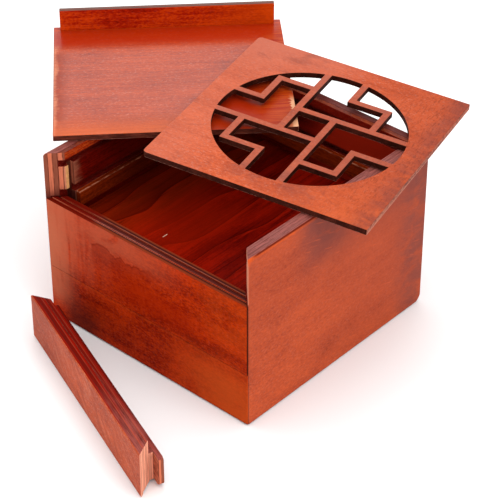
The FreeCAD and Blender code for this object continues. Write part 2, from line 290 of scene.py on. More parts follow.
class Graph:
    """Node tree of one material, with short calls for the nodes that the finishes use."""

    def __init__(self, name):
        self.material = bpy.data.materials.new(name)
        self.material.use_nodes = True
        self.tree = self.material.node_tree
        self.tree.nodes.clear()
        self.place = self.add("Attribute", {"attribute_name": OWN}).outputs["Vector"]
        split = self.add("SeparateXYZ", Vector=self.place)
        self.axes = {axis: split.outputs[axis] for axis in "XYZ"}
        self.x = self.axes["X"]
        self.y = self.axes["Y"]
        self.z = self.axes["Z"]

    def feed(self, socket, value):
        if isinstance(value, bpy.types.NodeSocket):
            self.tree.links.new(value, socket)
        elif socket.type == "RGBA":
            socket.default_value = (*value, 1.0)
        else:
            socket.default_value = value

    def add(self, kind, settings=None, **inputs):
        node = self.tree.nodes.new("ShaderNode" + kind)
        for key, value in (settings or {}).items():
            setattr(node, key, value)
        for key, value in inputs.items():
            self.feed(node.inputs[key], value)
        return node

    def math(self, operation, first, second=0.0):
        node = self.add("Math", {"operation": operation})
        self.feed(node.inputs[0], first)
        self.feed(node.inputs[1], second)
        return node.outputs[0]

    def times(self, *values):
        result = values[0]
        for value in values[1:]:
            result = self.math("MULTIPLY", result, value)
        return result

    def plus(self, first, second):
        return self.math("ADD", first, second)

    def minus(self, first, second):
        return self.math("SUBTRACT", first, second)

    def larger(self, first, second):
        return self.math("MAXIMUM", first, second)

    def size(self, value):
        return self.math("ABSOLUTE", value)

    def mix(self, share, first, second):
        node = self.add("Mix", {"data_type": "RGBA"})
        self.feed(node.inputs["Factor"], share)
        colours = [socket for socket in node.inputs if socket.type == "RGBA"]
        self.feed(colours[0], first)
        self.feed(colours[1], second)
        return [socket for socket in node.outputs if socket.type == "RGBA"][0]

    def step(self, value, start, full):
        """Smooth step from 0 at start to 1 at full, whichever of the two is the larger."""
        node = self.add("MapRange", {"interpolation_type": "SMOOTHSTEP"}, Value=value)
        rising = start < full
        node.inputs["From Min"].default_value = min(start, full)
        node.inputs["From Max"].default_value = max(start, full)
        node.inputs["To Min"].default_value = 0.0 if rising else 1.0
        node.inputs["To Max"].default_value = 1.0 if rising else 0.0
        return node.outputs["Result"]

    def near(self, value, middle, reach, margin):
        """One where the value is within reach of the middle, fading out over the margin."""
        return self.step(self.size(self.minus(value, middle)), reach + margin, reach)

    def area(self, **spans):
        """Mask of the places where every axis named is in its span.

        A pair is where the mask starts and where it is full. Three values are the middle, the reach
        within which it is full, and the margin over which it fades.
        """
        masks = []
        for axis, span in spans.items():
            mask = self.step if len(span) == 2 else self.near
            masks.append(mask(self.axes[axis], *span))
        return self.times(*masks)

    def ramp(self, value, stops):
        """Colour for a value, from stops of place and colour in rising order."""
        node = self.add("ValToRGB", Fac=value)
        elements = node.color_ramp.elements
        elements[0].position = stops[0][0]
        elements[1].position = stops[-1][0]
        for place, _ in stops[1:-1]:
            elements.new(place)
        for element, (_, colour) in zip(elements, stops):
            element.color = (*colour, 1.0)
        return node.outputs["Color"]

    def noise(self, grain, along, across, detail=2, distortion=0.0, shift=0, tilt=(0.0, 0.0, 0.0)):
        """Noise whose features are along metres by across metres, the long way with the grain."""
        size = [along if axis == grain else across for axis in "XYZ"]
        node = self.add("Mapping", {"vector_type": "TEXTURE"}, Vector=self.place)
        node.inputs["Scale"].default_value = size
        node.inputs["Rotation"].default_value = tilt
        node.inputs["Location"].default_value = [-shift * move * side for move, side in zip(SHIFTS, size)]
        noise = self.add("TexNoise", Vector=node.outputs["Vector"], Scale=1.0, Detail=detail,
                         Roughness=NOISE_ROUGHNESS, Distortion=distortion)
        return noise.outputs["Fac"]

    def swing(self, noise, reach):
        """Noise as an amount to either side of nought."""
        return self.times(self.minus(noise, NOISE_MEAN), reach)

    def finish(self, colour, roughness, height=None, relief=0.0, coat=0.0, coat_roughness=0.2,
               specular=0.5):
        """End the tree with a shader, and bumps where there is a height."""
        shader = self.add("BsdfPrincipled")
        self.feed(shader.inputs["Base Color"], colour)
        self.feed(shader.inputs["Roughness"], roughness)
        shader.inputs["Specular IOR Level"].default_value = specular
        self.feed(shader.inputs["Coat Weight"], coat)
        shader.inputs["Coat Roughness"].default_value = coat_roughness
        if height is not None:
            bump = self.add("Bump", Height=height, Strength=1.0, Distance=relief)
            self.feed(shader.inputs["Normal"], bump.outputs["Normal"])
        out = self.add("OutputMaterial")
        self.feed(out.inputs["Surface"], shader.outputs["BSDF"])
        return self.material


class Wood(Graph):
    """A wood surface. Its colour is built up from stains, each laid on within some masks."""

    patch_stretch = 1.6
    patch_detail = 4
    patch_distortion = 0.6

    def __init__(self, name, grain, shift=0):
        super().__init__(name)
        self.grain = grain
        self.shift = shift

    def figure(self, along, across, detail=2, distortion=0.0, shift=0):
        """Noise that runs with the grain, moved by this wood's own shift as well."""
        return self.noise(self.grain, along, across, detail, distortion, self.shift + shift)

    def patchy(self, low, high, size, shift=PATCH_SHIFT):
        """Uneven cover: none where its noise is under low, full where it is over high."""
        along = self.patch_stretch * size
        patches = self.figure(along, size, self.patch_detail, self.patch_distortion, shift)
        return self.step(patches, low, high)

    def stain(self, colour, strength, *masks):
        """Lay a colour over the surface, as strongly as the masks times the strength."""
        self.colour = self.mix(self.times(*masks, strength), self.colour, colour)


class Veneer(Wood):
    """Stained veneer: long bands, fine lines, speckle and blotches, with dark pores and pale flecks.

    Each of these shows as strongly as the weight that has its name.
    """

    def __init__(self, name, light, dark, grain, shift=0, bands=0.6, lines=0.8, speckle=0.6,
                 blotches=0.5, pores=0.4, flecks=0.10):
        super().__init__(name, grain, shift)
        self.lines = self.figure(**LINES)
        self.pores = self.step(self.figure(**PORES), *PORE_SPAN)
        layers = [
            (self.figure(**BANDS), bands),
            (self.lines, lines),
            (self.figure(**SPECKLE), speckle),
            (self.figure(**BLOTCHES), blotches),
        ]
        tone = NOISE_MEAN
        for layer, weight in layers:
            tone = self.plus(tone, self.swing(layer, weight))
        tones = (scaled(dark, DARKEST), dark, light, scaled(light, LIGHTEST))
        self.colour = self.ramp(tone, list(zip(TONE_PLACES, tones)))
        self.stain(scaled(dark, PORE_TONE), pores, self.pores)
        self.stain(FUZZ, flecks, self.step(self.figure(**FLECKS), *FLECK_SPAN))

    def done(self, roughness, specular, coat=0.0, coat_roughness=0.15, relief=0.02 * MM):
        rough = self.plus(roughness - ROUGHNESS_RANGE / 2, self.times(self.lines, ROUGHNESS_RANGE))
        height = self.minus(self.times(self.lines, LINE_RELIEF), self.pores)
        return self.finish(self.colour, rough, height, relief, coat, coat_roughness, specular)


class Plies(Wood):
    """Cut edge of plywood: two kinds of layer by turns, with glue between them.

    The layers are a pitch thick, and are counted along an axis from the face at start. Inward is the
    sign of the way into the wood.
    """

    patch_stretch = 2.0
    patch_detail = 3
    patch_distortion = 0.5

    def __init__(self, name, first, second, axis, start, inward, pitch, grain,
                 glue=GLUE, glue_strength=0.9):
        super().__init__(name, grain)
        depth = self.times(self.minus(self.axes[axis], start), inward / pitch)
        depth = self.plus(depth, self.swing(self.figure(**PLY_WAVES), PLY_WAVER))
        every_other = self.math("FLOORED_MODULO", self.math("FLOOR", depth), 2.0)
        from_middle = self.size(self.minus(self.math("FRACT", depth), 0.5))
        self.fibre = self.figure(**PLY_FIBRES)
        self.colour = self.mix(every_other, first, second)
        self.stain(scaled(first, FIBRE_TONE), FIBRE_STRENGTH, self.step(self.fibre, *FIBRE_SPAN))
        breaks = self.step(self.figure(**GLUE_BREAKS), *BREAK_SPAN)
        self.stain(glue, glue_strength, self.step(from_middle, *GLUE_SPAN), breaks)

    def done(self, roughness=0.5, specular=0.2):
        return self.finish(self.colour, roughness, self.fibre, relief=0.03 * MM, specular=specular)


def scorched(name, grain, under, tone=1.0):
    """Laser cut edge, charred brown, with a paler frayed line along its lower side."""
    edge = Wood(name, grain)
    streaks = edge.figure(**CHAR_STREAKS)
    patches = edge.figure(**CHAR_PATCHES)
    burnt = edge.plus(edge.times(streaks, CHAR_SHARE), edge.times(patches, CHAR_SHARE))
    stops = [(0.42, CHAR), (0.60, scaled(SCORCH, 0.6)), (0.78, scaled(SCORCH, 1.3))]
    edge.colour = edge.ramp(burnt, [(place, scaled(colour, tone)) for place, colour in stops])
    wander = edge.minus(edge.figure(**FRAY_WANDER), FRAY_MEAN)
    reach = edge.plus(FRAY, edge.times(wander, FRAY_SWING))
    low = edge.math("LESS_THAN", edge.minus(edge.z, under), reach)
    edge.stain(FUZZ, FRAY_STRENGTH, low, edge.step(edge.figure(**FRAY_BREAKS), *FRAY_SPAN))
    return edge.finish(edge.colour, 0.6, streaks, relief=0.05 * MM, specular=0.02)


def rubbed_arris(name, grain, dark, light, top):
    """Edges of a piece, with the stain worn through here and there along its top."""
    graph = Graph(name)
    worn = graph.step(graph.noise(grain, 6 * MM, 1.5 * MM, detail=3), 0.38, 0.60)
    worn = graph.times(worn, graph.step(graph.z, top - 1.0 * MM, top - 0.6 * MM))
    return graph.finish(graph.mix(worn, dark, light), 0.5, worn, relief=0.02 * MM, specular=0.1)


def clean_copy(node):
    """The node's solid as a mesh with whole flat faces."""
    bm = bmesh.new()
    bm.from_mesh(frame["nodes"][node].data)
    bmesh.ops.remove_doubles(bm, verts=bm.verts, dist=WELD)
    bmesh.ops.dissolve_limit(bm, angle_limit=FLAT_ANGLE, verts=bm.verts, edges=bm.edges)
    bm.normal_update()
    return bm


def own_axes(node):
    """Placement of a loose piece: X along its longest edge, Z out of its broadest upper face.

    The origin is the middle of the piece. Half its size along each axis comes with it.
    """
    bm = clean_copy(node)
    broad = max((f for f in bm.faces if f.normal.z > BARELY), key=lambda f: f.calc_area())
    up = broad.normal.normalized()
    borders = [e for e in bm.edges if e.is_manifold and e.calc_face_angle() > SHARP_ANGLE]
    longest = max(borders, key=lambda e: e.calc_length())
    along = (longest.verts[1].co - longest.verts[0].co).normalized()
    if along.x < 0:
        along = -along
    aside = up.cross(along).normalized()
    turn = Matrix((aside.cross(up), aside, up)).transposed()
    inner = [turn.transposed() @ v.co for v in bm.verts]
    low = Vector([min(p[i] for p in inner) for i in range(3)])
    high = Vector([max(p[i] for p in inner) for i in range(3)])
    bm.free()
    return Matrix.Translation(turn @ ((low + high) / 2)) @ turn.to_4x4(), (high - low) / 2


def eased(piece, width, arris):
    """Round every sharp edge a little in the material numbered arris, and keep the flats flat."""
    modifier = piece.modifiers.new("ease", "BEVEL")
    modifier.width = width
    modifier.segments = EASE_STEPS
    modifier.limit_method = "ANGLE"
    modifier.angle_limit = SHARP_ANGLE
    modifier.face_strength_mode = "FSTR_ALL"
    modifier.material = arris
    flats = piece.modifiers.new("flats", "WEIGHTED_NORMAL")
    flats.mode = "FACE_AREA"
    flats.weight = FLAT_WEIGHT
    flats.use_face_influence = True
    piece.data.polygons.foreach_set("use_smooth", [True] * len(piece.data.polygons))
    shaped = piece.evaluated_get(bpy.context.evaluated_depsgraph_get())
    mesh = bpy.data.meshes.new_from_object(shaped)
    piece.modifiers.clear()
    piece.data = mesh


def all_alike(normal, centre):
    """One material for the whole piece."""
    return 0


def dress(node, materials, pick=all_alike, place=None, ease=EASE, arris=None):
    """A finished copy of a node, with a material for each face chosen by pick(normal, centre).

    The eased edges take the arris material, or that of the face beside them where there is none.
    """
    bm = clean_copy(node)
    place = place or Matrix.Identity(4)
    bm.transform(place.inverted())
    bm.normal_update()
    for face in bm.faces:
        face.material_index = pick(face.normal, face.calc_center_median())
    mesh = bpy.data.meshes.new(node + "_finish")
    bm.to_mesh(mesh)
    bm.free()
    piece = bpy.data.objects.new(node + "_finish", mesh)
    bpy.context.scene.collection.objects.link(piece)
    for material in materials:
        mesh.materials.append(material)
    if arris:
        mesh.materials.append(arris)
    eased(piece, ease, len(materials) if arris else BESIDE)
    own = piece.data.attributes.new(OWN, "FLOAT_VECTOR", "POINT")
    own.data.foreach_set("vector", [c for v in piece.data.vertices for c in v.co])
    piece.data.transform(place)
    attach(piece, frame["nodes"][node]["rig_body"])
    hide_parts(node)


def board_pick(axis, sign, inward=EXACTLY):
    """Sorts a board's faces into outside, cut edge, inside and mitred ends."""
    index = "XYZ".index(axis)

    def pick(normal, centre):
        out = normal[index] * sign
        if out > SLIGHTLY:
            return FACE
        if out < -inward:
            return INSIDE
        return EDGE if abs(normal.z) > PARTLY else MITRE
    return pick


def liner_pick(axis):
    """Sorts a liner's faces into broad sides, top and the rest."""
    index = "XYZ".index(axis)

    def pick(normal, centre):
        if abs(normal[index]) > SQUARELY:
            return BROAD
        return TOP if normal.z > PARTLY else REST
    return pick


def inside_stain(name, grain, shift=0):
    """Dark stain of the faces that look into the box."""
    return Veneer(name, INSIDE_LIGHT, INSIDE_DARK, grain, shift).done(roughness=0.4, specular=0.2)


def wall_stain(side, along):
    """Outer face of a wall: painted shade darkening it toward the back and the top, smudged at its far
    end, painted shadow of the window panel in two patches below the rim, and a thin dark line under the
    rim.
    """
    wood = Veneer("wall_" + side + "_stain", WALL_LIGHT, WALL_DARK, along, WALL_SHIFTS[side], bands=0.4,
                  lines=0.3, speckle=0.9, blotches=0.8, pores=0.10, flecks=0.14)
    along_wall = wood.axes[along]
    # Painted shade: the wall grows darker toward the back and toward the top.
    wood.stain(scaled(WALL_DARK, 0.8), 0.45, wood.step(along_wall, -HALF, HALF))
    wood.stain(scaled(WALL_DARK, 0.85), 0.35, wood.area(Z=mm(15, 80)))
    far_end = wood.step(along_wall, HALF - 30 * MM, HALF - 8 * MM)
    wood.stain(SMUDGE_AND_SHADE, 0.7, far_end, wood.patchy(0.30, 0.66, 9 * MM))
    # Painted shadow of the window panel's overhang, made patchy.
    window_panel_shadow = wood.area(**{along: mm(-11, 7, 12), "Z": mm(62, 82)})
    wood.stain(SMUDGE_AND_SHADE, 0.6, window_panel_shadow, wood.patchy(0.25, 0.5, 7 * MM, 37))
    # Partly painted shadow of the window panel, partly a smudge, below the rim toward the front.
    high = wood.area(**{"Z": (RIM - 40 * MM, RIM - 6 * MM), along: mm(-38, -20)})
    wood.stain(SMUDGE_AND_SHADE, 0.62, high, wood.patchy(0.2, 0.6, 14 * MM, 23))
    tilt = (WISP_TILT, 0.0, 0.0) if along == "Y" else (0.0, WISP_TILT, 0.0)
    wisps = wood.noise(along, 16 * MM, 1.3 * MM, distortion=0.3, shift=31, tilt=tilt)
    wood.stain(scaled(WALL_LIGHT, 1.3), 0.4, wood.step(wisps, 0.62, 0.76))
    wall_edges(wood, wood.plus(along_wall, HALF), wood.minus(RIM, wood.z))
    return wood.done(roughness=0.5, specular=0.08)


def wall_edges(wood, from_front, under_rim):
    """Edges of a wall: pale above the sill and dark below it as painted shade, orange under the rim with
    a painted highlight at the top front corner, and painted shade darkening the foot.
    """
    arris = wood.step(from_front, 1.0 * MM, 0.5 * MM)
    wood.stain(SALMON, 0.4, arris, wood.step(wood.z, SILL - 1 * MM, SILL + 1 * MM))
    # Painted shade along the front edge below the sill, where the gap beside the front boards is dark.
    wood.stain(RIM_DARK, 0.5, arris, wood.step(wood.z, SILL + 1 * MM, SILL - 1 * MM))
    wood.stain(FRONT_ORANGE, 0.25, wood.step(under_rim, 2.0 * MM, 0.9 * MM))
    # Painted highlight: orange wedge at the top front corner of the wall.
    corner_highlight = wood.step(wood.plus(under_rim, wood.times(from_front, 0.8)), 5.0 * MM, 2.2 * MM)
    wood.stain(scaled(FRONT_ORANGE, 1.2), 0.5, corner_highlight)
    line = wood.step(under_rim, 0.75 * MM, 0.45 * MM)
    wood.stain(scaled(FRONT_DARK, 0.35), 0.85, line, wood.step(from_front, 3 * MM, 8 * MM))
    # Painted shade along the foot, where the wall meets the floor.
    wood.stain(RIM_DARK, 0.5, wood.area(Z=mm(1.6, 0.4)))


def rim_plies(name, axis, sign, along):
    """Top edge of a wall: scuffed mauve, stained darker behind the front on the left and at the back."""
    edge = Plies(name, MAUVE, scaled(MAUVE, 0.85), axis, sign * HALF, -sign, WALL_PLY, along,
                 glue=RIM_DARK, glue_strength=0.6)
    streaks = edge.figure(6 * MM, 0.4 * MM, detail=3, shift=4)
    edge.stain(RIM_DARK, 0.6, edge.step(streaks, 0.50, 0.62))
    edge.stain(RIM_DARK, 0.4, edge.patchy(0.5, 0.75, 12 * MM, 21))
    if axis == "Y" or sign < 0:
        uneven = edge.plus(0.7, edge.times(edge.patchy(0.4, 0.6, 6 * MM, 2), 0.3))
        edge.stain(RIM_DARK, uneven, edge.step(edge.y, 9 * MM - HALF, 24 * MM - HALF))
    return edge.done(roughness=0.45, specular=0.15)


def lip_top(name, along):
    """Brown top of a lip."""
    return Veneer(name, LIP_TOP, RIM_DARK, along, shift=6).done(roughness=0.45, specular=0.15)


def end_plies(name, axis, sign, first=TAN, second=END_PALE):
    """Mitred end of a board: smudged plies, darkened below the slots as painted shade."""
    edge = Plies(name, first, second, axis, sign * HALF, -sign, WALL_PLY, "Z")
    edge.stain(TAN, 0.35, edge.patchy(0.55, 0.7, 6 * MM, 21))
    # Painted shade on the lower part of the ends, inside the notch.
    edge.stain(RIM_DARK, 0.95, edge.step(edge.z, RIM - 17 * MM, RIM - 27 * MM))
    return edge.done(roughness=0.6, specular=0.05)


def liner_stain(name, along):
    """Inside face of a liner: dark, with bare wood by the slot, or at the back with a painted pool of
    light that makes it redder to the right.
    """
    wood = Veneer(name, INSIDE_LIGHT, INSIDE_DARK, along, shift=1, flecks=0.0)
    if along == "Y":
        ragged = wood.swing(wood.noise("Y", 7 * MM, 1.2 * MM, detail=3, distortion=0.3, shift=5), 9 * MM)
        by_slot = wood.step(wood.plus(wood.y, ragged), SLOT_BACK + 6 * MM, SLOT_BACK - 1 * MM)
        wood.stain(scaled(PALE, 0.85), 0.45, by_slot)
    else:
        # Painted light: a lit patch on the back liner, to the right.
        wood.stain(LINER_LIT, 0.6, wood.area(X=mm(-12, 14)))
    return wood.done(roughness=0.45, specular=0.05)


def hook(side, axis, sign, inside):
    """Short block at the notch, bare inside."""
    bare = Veneer("hook_" + side + "_bare", BARE, scaled(BARE, 0.6), "Z", bands=0.3)
    tips = end_plies("hook_" + side + "_tips", axis, sign, PALE, END_PALE)
    dress("hook_" + side, [bare.done(roughness=0.6, specular=0.05), inside, tips], liner_pick(axis))


def box_walls():
    """The three walls, each with its lip and liners, and a hook at the front of the side walls."""
    for side, (axis, sign, along) in SIDES.items():
        inside = inside_stain("inside_" + side, along)
        rim = rim_plies("rim_" + side, axis, sign, along)
        end_colours = (SALMON, scaled(SALMON, 1.15)) if side == "right" else (TAN, END_PALE)
        ends = end_plies("ends_" + side, axis, sign, *end_colours)
        dress("wall_" + side, [wall_stain(side, along), rim, inside, ends], board_pick(axis, sign))
        lip_light = INSIDE_LIGHT if side == "back" else FRONT_ORANGE
        lip_wood = Veneer("lip_" + side + "_stain", lip_light, FRONT_DARK, along, shift=4)
        lip_face = lip_wood.done(roughness=0.4, specular=0.1)
        lip_rim = rim if side == "right" else lip_top("lip_" + side + "_top", along)
        dress("lip_" + side, [lip_face, lip_rim, ends], liner_pick(axis))
        liner = liner_stain("liner_" + side, along)
        for node in ("upper_liner_", "lower_liner_"):
            # The liners' tops take the dark inside stain as painted shade in the grooves under the lip
            # and above the rail.
            dress(node + side, [liner, inside, ends], liner_pick(axis))
        if side != "back":
            hook(side, axis, sign, inside)


def floor_stain():
    """Deep red floor with curved growth lines, each dark on one side, and one small scratch."""
    wood = Veneer("floor_stain", FLOOR_LIGHT, FLOOR_DARK, "Y", bands=0.8, lines=0.8, speckle=0.4,
                  blotches=0.6, pores=0.2, flecks=0.0)
    wood.stain(FLOOR_BROWN, 0.55, wood.area(X=mm(-14, -38)))
    ring_width = 17 * MM
    bend = wood.swing(wood.noise("Y", 110 * MM, 30 * MM, shift=3), 40 * MM)
    ring = wood.math("FRACT", wood.times(wood.plus(wood.x, bend), 1 / ring_width))
    wood.stain(scaled(FLOOR_DARK, 0.6), 0.5, wood.step(ring, 0.2, 1.0))
    wood.stain(scaled(FLOOR_DARK, 0.3), 0.5, wood.step(ring, 0.90, 0.99))
    wood.stain(scaled(FLOOR_GLOW, 1.2), 0.28, wood.step(ring, 0.14, 0.0))
    streaks = wood.noise("Y", 34 * MM, 1.5 * MM, distortion=0.2, shift=15)
    wood.stain(scaled(FLOOR_DARK, 0.4), 0.6, wood.step(streaks, 0.55, 0.75))
    wood.stain(FLOOR_GLOW, 0.5, wood.area(X=mm(-14, 8, 20), Y=mm(-24, 12, 30)))
    wood.stain(SCRATCH, 1.0, wood.area(X=mm(-12.8, 0.12, 0.15), Y=mm(-37.1, 1.4, 0.3)))
    return wood.done(roughness=0.35, specular=0.03)


def rail_stain(name, along):
    """Brown stain of a rail, with painted shade darkening it toward the back on the side walls."""
    wood = Veneer(name, RAIL_LIGHT, RAIL_DARK, along, flecks=0.0)
    if along == "Y":
        # Painted shade: the side rails darken toward the back, under the lid.
        wood.stain(scaled(RAIL_DARK, 0.4), 0.7, wood.area(Y=mm(-50, 5)))
    return wood.done(roughness=0.4, specular=0.05)


def inside_fittings():
    """Rails, cleats and the two floors."""
    for side, (_, _, along) in SIDES.items():
        rail = "rail_" + side
        brown = rail_stain(rail + "_stain", along)
        worn = rubbed_arris(rail + "_arris", along, RAIL_DARK, scaled(PALE, 0.7), top=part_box(rail)[1].z)
        dress(rail, [brown], ease=RAIL_EASE, arris=worn)
        dress("floor_cleat_" + side, [brown])
    dress("false_floor", [floor_stain()])
    base = Veneer("base_stain", WALL_LIGHT, WALL_DARK, "X", shift=6)
    dress("base_panel", [base.done(roughness=0.55, specular=0.2)])


def front_stain():
    """Front face: red brown, wiped pale at the left and along the top, more orange at the right."""
    wood = Veneer("front_stain", FRONT_LIGHT, FRONT_DARK, "X", bands=0.5, lines=0.2, speckle=1.15,
                  blotches=0.95, pores=0.10, flecks=0.07)
    hatch = wood.noise("Z", 7 * MM, 1.0 * MM, shift=3)
    wood.stain(scaled(FRONT_DARK, 0.8), 0.12, wood.step(hatch, 0.52, 0.70))
    wood.stain(FRONT_ORANGE, 0.12, wood.step(hatch, 0.46, 0.30))
    wipes = wood.noise("Z", 50 * MM, 5 * MM, detail=3, distortion=0.3, shift=13)
    left = wood.area(X=mm(-8, -54), Z=mm(20, 48))
    wood.stain(FRONT_PALE, 0.6, left, wood.step(wipes, 0.2, 0.6))
    left_foot = wood.area(X=mm(-42, -62), Z=mm(4, 18))
    wood.stain(FRONT_CHALK, 0.8, left_foot, wood.step(wipes, 0.1, 0.5))
    brow = wood.area(X=mm(36, -14), Z=mm(48, 64))
    wood.stain(FRONT_PALE, 0.62, brow, wood.patchy(0.25, 0.6, 12 * MM, 51))
    wood.stain(scaled(FRONT_DARK, 1.15), 0.5, wood.area(X=mm(6, 14, 26), Z=mm(41, 3, 8)))
    shoulder = wood.area(X=mm(22, 52), Z=mm(30, 48))
    wood.stain(FRONT_ORANGE, 0.3, shoulder, wood.patchy(0.25, 0.6, 14 * MM, 53))
    below_seam = wood.near(wood.z, SEAM - 0.9 * MM, 0.3 * MM, 0.6 * MM)
    wood.stain(FRONT_ORANGE, 0.2, below_seam, wood.patchy(0.3, 0.6, 12 * MM, 57))
    right = wood.area(X=mm(4, 52), Z=mm(38, 16))
    wood.stain(scaled(FRONT_ORANGE, 0.95), 0.72, right, wood.patchy(0.15, 0.55, 16 * MM, 29))
    wood.stain(scaled(RIM_DARK, 0.8), 0.6, wood.area(X=mm(-44, 5, 12), Z=mm(24, 3)))
    tide_mark(wood)
    # Painted shade along the foot, where the front meets the floor.
    wood.stain(scaled(FRONT_DARK, 0.3), 0.6, wood.area(Z=mm(1.8, 0.4)))
    return wood.done(roughness=0.38, specular=0.01)


def tide_mark(wood):
    """Lap of darker stain on the front, with a thin wavering line along its top."""
    waver = wood.swing(wood.noise("Z", 90 * MM, 11 * MM, detail=4, shift=27), 13 * MM)
    height = wood.plus(wood.z, waver)
    reach = wood.times(wood.step(wood.x, -35 * MM, -34 * MM), wood.step(wood.x, 26 * MM, -12 * MM))
    top = wood.step(height, TIDE_HEIGHT + 0.8 * MM, TIDE_HEIGHT)
    lap = wood.times(top, wood.step(height, 40 * MM, TIDE_HEIGHT))
    wood.stain(scaled(FRONT_DARK, 0.8), 0.46, lap, reach)
    line = wood.near(height, TIDE_HEIGHT, 0.2 * MM, 0.7 * MM)
    wood.stain(scaled(FRONT_DARK, 0.5), 0.4, line, reach, wood.patchy(0.3, 0.6, 10 * MM, 59))


def front_rim():
    """Top of the front panel: dark stained, with an orange brown ledge along the front."""
    edge = Plies("front_rim", RIM_DARK, scaled(RIM_DARK, 0.5), "Y", -HALF, 1, FRONT_PLY, "X",
                 glue=RIM_DARK, glue_strength=0.5)
    depth = edge.plus(edge.y, HALF)
    edge.stain(LIP_TOP, 0.7, edge.step(depth, LEDGE_BACK, 0.6 * MM))
    edge.stain(LIP_TOP, 0.6, edge.step(depth, 6.0 * MM, 6.8 * MM))
    edge.stain(scaled(INSIDE_LIGHT, 0.7), 0.92, edge.area(X=mm(-28, -36)))
    return edge.done(roughness=0.4, specular=0.03)


def front_arris():
    """Arrises along the top of the front panel: the ridges' front edges are rubbed light."""
    graph = Graph("front_arris")
    high = graph.step(graph.z, SILL - 1.5 * MM, SILL - 0.6 * MM)
    depth = graph.plus(graph.y, HALF)
    along = graph.area(X=mm(-44, -30))
    breaks = graph.step(graph.noise("X", 9 * MM, 1 * MM), 0.15, 0.45)
    first = graph.times(graph.near(depth, FIRST_RIDGE, 0.5 * MM, 0.1 * MM), high, along, breaks)
    second = graph.times(graph.near(depth, SECOND_RIDGE, 0.5 * MM, 0.1 * MM), high, along, breaks)
    colour = graph.mix(graph.times(second, 0.9), scaled(FRONT_DARK, 0.6), TAN)
    rubbed = graph.mix(graph.area(X=mm(-14, 12, 26)), scaled(TAN, 1.2), RIM_LINE)
    colour = graph.mix(first, colour, rubbed)
    return graph.finish(colour, 0.45, breaks, relief=0.02 * MM, specular=0.1)


def front_boards():
    """The fixed lower board of the front, and the panel that slides up above it."""
    inside = inside_stain("front_inside", "X")
    materials = [front_stain(), front_rim(), inside, end_plies("front_ends", "Y", -1)]
    for node in ("front_lower_face", "front_lower_back"):
        dress(node, materials, board_pick("Y", -1))
    rubbed = front_arris()
    for node in ("front_panel_face", "front_panel_back"):
        dress(node, materials, board_pick("Y", -1), arris=rubbed)


def window_stain(half):
    """Top of the window panel: salmon, pinker at the far left, browner and smudged to the right."""
    wood = Veneer("window_stain", WINDOW_LIGHT, WINDOW_DARK, "Y", bands=0.4, lines=0.5, speckle=0.85,
                  blotches=0.75, pores=0.15, flecks=0.38)
    wood.stain(scaled(WINDOW_DARK, 0.9), 0.6, wood.area(Y=(-0.5 * half.y, half.y)))
    far_left = wood.area(X=(-0.3 * half.x, -half.x), Y=(0.3 * half.y, -0.4 * half.y))
    wood.stain(WINDOW_PINK, 0.6, far_left)
    wood.stain(WINDOW_PINK, 0.4, wood.area(Y=(-0.3 * half.y, -0.9 * half.y)))
    dashes = wood.step(wood.noise("X", 2.6 * MM, 0.8 * MM, detail=3, shift=45), 0.48, 0.66)
    wood.stain(scaled(WINDOW_DARK, 0.5), 0.65, dashes, wood.area(Y=(0.0, 0.9 * half.y)))
    near_right = wood.area(X=(half.x - 34 * MM, half.x - 8 * MM), Y=(0.0, 0.8 * half.y))
    wood.stain(WINDOW_ORANGE, 0.5, near_right, wood.patchy(0.2, 0.7, 10 * MM, 43))
    rubbed = wood.area(X=(half.x - 14 * MM, 5 * MM, 9 * MM), Y=mm(2, 12, 18))
    wood.stain(SMUDGE_AND_SHADE, 0.45, rubbed, wood.patchy(0.3, 0.6, 8 * MM, 47))
    right = wood.area(Y=(half.y - 14 * MM, half.y - 2 * MM))
    wood.stain(SMUDGE_AND_SHADE, 0.6, right, wood.patchy(0.3, 0.6, 8 * MM))
    wood.stain(SMUDGE_AND_SHADE, 0.4, wood.patchy(0.56, 0.72, 12 * MM, 3))
    squared = wood.plus(wood.times(wood.x, wood.x), wood.times(wood.y, wood.y))
    lattice = wood.step(wood.math("SQRT", squared), WINDOW_RADIUS + 1 * MM, WINDOW_RADIUS - 2 * MM)
    wood.stain(LATTICE_ROSE, 0.4, lattice)
    return wood.done(roughness=0.42, specular=0.06)


def window_side(half):
    """Right edge of the window panel: rough, with a paler line along its lower side."""
    side = Veneer("window_side", ROUGH_LIGHT, ROUGH_DARK, "X", shift=2, speckle=1.2, flecks=0.25)
    side.stain(PALE, 0.4, side.area(X=(-10 * MM, half.x)), side.patchy(0.4, 0.6, 5 * MM))
    side.stain(FUZZ, 0.35, side.area(Z=(0.9 * MM - half.z, 0.5 * MM - half.z)))
    return side.done(roughness=0.6, specular=0.05)


def window():
    """The top panel with its round lattice."""
    place, half = own_axes("window_panel")
    right_edge = half.y - 1 * MM

    def pick(normal, centre):
        if abs(normal.z) > SQUARELY:
            return PANEL
        return PLAIN if normal.y > MOSTLY and centre.y > right_edge else BURNT

    burnt = scorched("window_scorch", "X", -half.z, tone=0.4)
    dress("window_panel", [window_stain(half), burnt, window_side(half)], pick, place)


def lid_sides(wood, from_side):
    """Both sides of the lid: blushed, and worn through in places along the edge."""
    blush = wood.step(from_side, 10 * MM, 3 * MM)
    wood.stain(scaled(LID_DARK, 0.75), 0.6, blush, wood.patchy(0.3, 0.6, 5 * MM))
    frayed = wood.noise("X", 9 * MM, 1.1 * MM, detail=4, shift=19)
    patches = wood.step(wood.noise("Y", 14 * MM, 5 * MM, detail=3, shift=39), 0.35, 0.65)
    reach = wood.times(wood.plus(wood.times(frayed, 0.7), patches), 1.5 * MM)
    worn = wood.step(wood.minus(from_side, reach), 1.6 * MM, -0.8 * MM)
    wood.stain(LID_WORN, 0.75, worn, wood.step(frayed, 0.25, 0.55))
    wood.stain(TAN, 0.6, wood.step(from_side, 0.7 * MM, 0.3 * MM))


